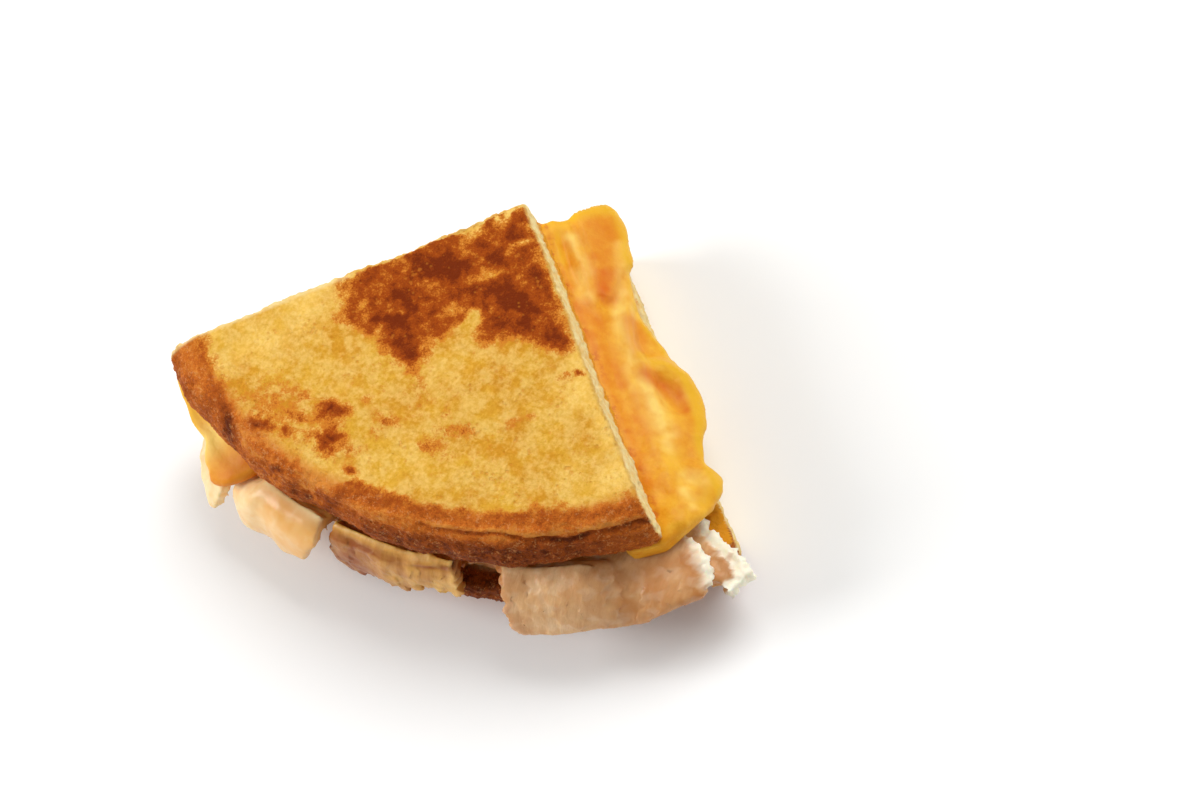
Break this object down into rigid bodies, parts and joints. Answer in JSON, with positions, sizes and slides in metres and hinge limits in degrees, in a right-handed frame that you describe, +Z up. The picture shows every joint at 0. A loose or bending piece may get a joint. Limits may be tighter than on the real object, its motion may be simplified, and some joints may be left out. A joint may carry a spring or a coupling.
{
  "type": "grilled turkey sandwich",
  "caption": "Quarter of a grilled sandwich: browned white bread over folded, torn turkey and melted cheese that runs out over one cut.",
  "frame": {"origin": "on the surface it lies on, under the middle of the whole piece", "axes": "+Z up through the layers; +X across the crust side from the left corner to the right corner; -Y out of the crust side, so the tip points to +Y"},
  "size_m": [0.1214, 0.0842, 0.0368],
  "materials": {
    "bread": "butter-grilled white bread, pale golden to dark brown, dry and slightly rough",
    "turkey": "moist cooked turkey breast, pale beige, fibrous",
    "cheese": "melted cheddar, yellow-orange, smooth and soft-glossy"
  },
  "bodies": {
    "root": {"bread_bottom": "bread", "turkey_lower": "turkey", "turkey_edge": "turkey", "turkey_fold": "turkey", "turkey_frill": "turkey", "turkey_slab": "turkey", "cheese": "cheese", "bread_top": "bread"}
  },
  "joints": []
}
